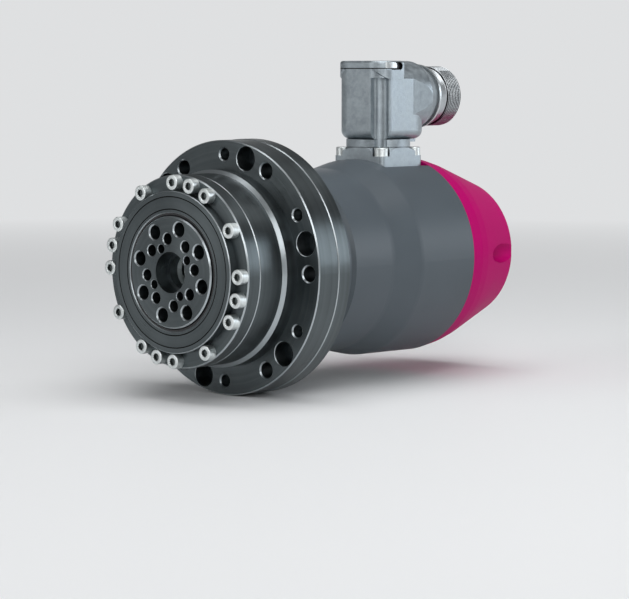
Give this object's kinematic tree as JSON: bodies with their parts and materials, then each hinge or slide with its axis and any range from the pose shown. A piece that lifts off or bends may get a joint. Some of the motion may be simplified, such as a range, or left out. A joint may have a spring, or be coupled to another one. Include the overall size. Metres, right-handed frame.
{
  "type": "robot joint actuator",
  "caption": "Servo actuator for a robot joint: round mounting flange, geared output flange with bolt holes, motor housing, conical end cap and a swivelling right-angle connector.",
  "frame": {"origin": "centre of the bolt circle on the flange's front mounting face, on the actuator's axis", "axes": "-Y the way the output looks, +Y along the motor towards the end cap, +Z towards the connector, +X to the right seen from the output side"},
  "size_m": [0.0948, 0.1676, 0.1238],
  "materials": {
    "dark_steel": "turned dark steel with brushed faces",
    "bright_steel": "satin",
    "housing_paint": "matt to satin paint on aluminium",
    "cap_paint": "matt magenta paint on aluminium",
    "cast_zinc": "cast, satin",
    "nickel": "nickel plated, satin",
    "aluminium": "turned",
    "rubber_black": "matt",
    "copper": "enamelled wire",
    "lamination": "stacked sheet",
    "magnet": "nickel plated",
    "plastic_black": "moulded",
    "contact_gold": "plated",
    "board_green": "circuit board"
  },
  "bodies": {
    "housing": {"mounting_flange": "dark_steel", "adapter_flange": "dark_steel", "flange_joining_screws": "bright_steel", "bearing_ring": "dark_steel", "seal_retainer": "dark_steel", "seal_case": "dark_steel", "output_seal": "rubber_black", "ring_screws": "bright_steel", "gear_ring": "dark_steel", "shaft_seal": "rubber_black", "front_bearing_outer": "bright_steel", "rear_bearing_outer": "bright_steel", "stator_core": "lamination", "stator_windings": "copper", "motor_housing": "housing_paint", "rear_shield": "aluminium", "encoder_board": "board_green", "encoder_standoffs": "aluminium", "end_cap": "cap_paint", "cap_seal": "rubber_black", "cap_screws": "bright_steel", "connector_base": "cast_zinc", "base_seal": "rubber_black", "base_screws": "bright_steel"},
    "output": {"output_flange": "dark_steel", "flexspline": "bright_steel", "clamp_ring": "bright_steel", "clamp_screws": "bright_steel"},
    "roller_set": {"crossed_rollers": "bright_steel"},
    "rotor": {"motor_shaft": "bright_steel", "wave_cam": "bright_steel", "wave_key": "bright_steel", "cam_clip": "bright_steel", "wave_bearing_inner": "bright_steel", "wave_bearing_outer": "bright_steel", "wave_bearing_balls": "bright_steel", "front_bearing_inner": "bright_steel", "rear_bearing_inner": "bright_steel", "rotor_core": "lamination", "rotor_magnets": "magnet", "encoder_disc": "aluminium"},
    "elbow": {"elbow_body": "cast_zinc", "elbow_lid": "cast_zinc", "lid_latches": "nickel", "swivel_clip": "bright_steel", "swivel_seal": "rubber_black", "nose_ring": "nickel", "threaded_nose": "nickel", "contact_insert": "plastic_black", "contact_pins": "contact_gold"}
  },
  "joints": [
    {"name": "rotor_spin", "type": "hinge", "parent": "housing", "child": "rotor", "pos_m": [0, 0.05, 0], "axis": [0, -1, 0], "continuous": true, "deforming": ["flexspline"]},
    {"name": "output_spin", "type": "hinge", "parent": "housing", "child": "output", "pos_m": [0, -0.025, 0], "axis": [0, -1, 0], "continuous": true},
    {"name": "roller_orbit", "type": "hinge", "parent": "housing", "child": "roller_set", "pos_m": [0, -0.02185, 0], "axis": [0, -1, 0], "continuous": true},
    {"name": "connector_swivel", "type": "hinge", "parent": "housing", "child": "elbow", "pos_m": [0, 0.0874, 0.0458], "axis": [0, 0, 1], "range_deg": [-165, 165]}
  ],
  "couplings": [
    {"joint": "output_spin", "follows": "rotor_spin", "ratio": -0.033333},
    {"joint": "roller_orbit", "follows": "rotor_spin", "ratio": -0.015709}
  ]
}
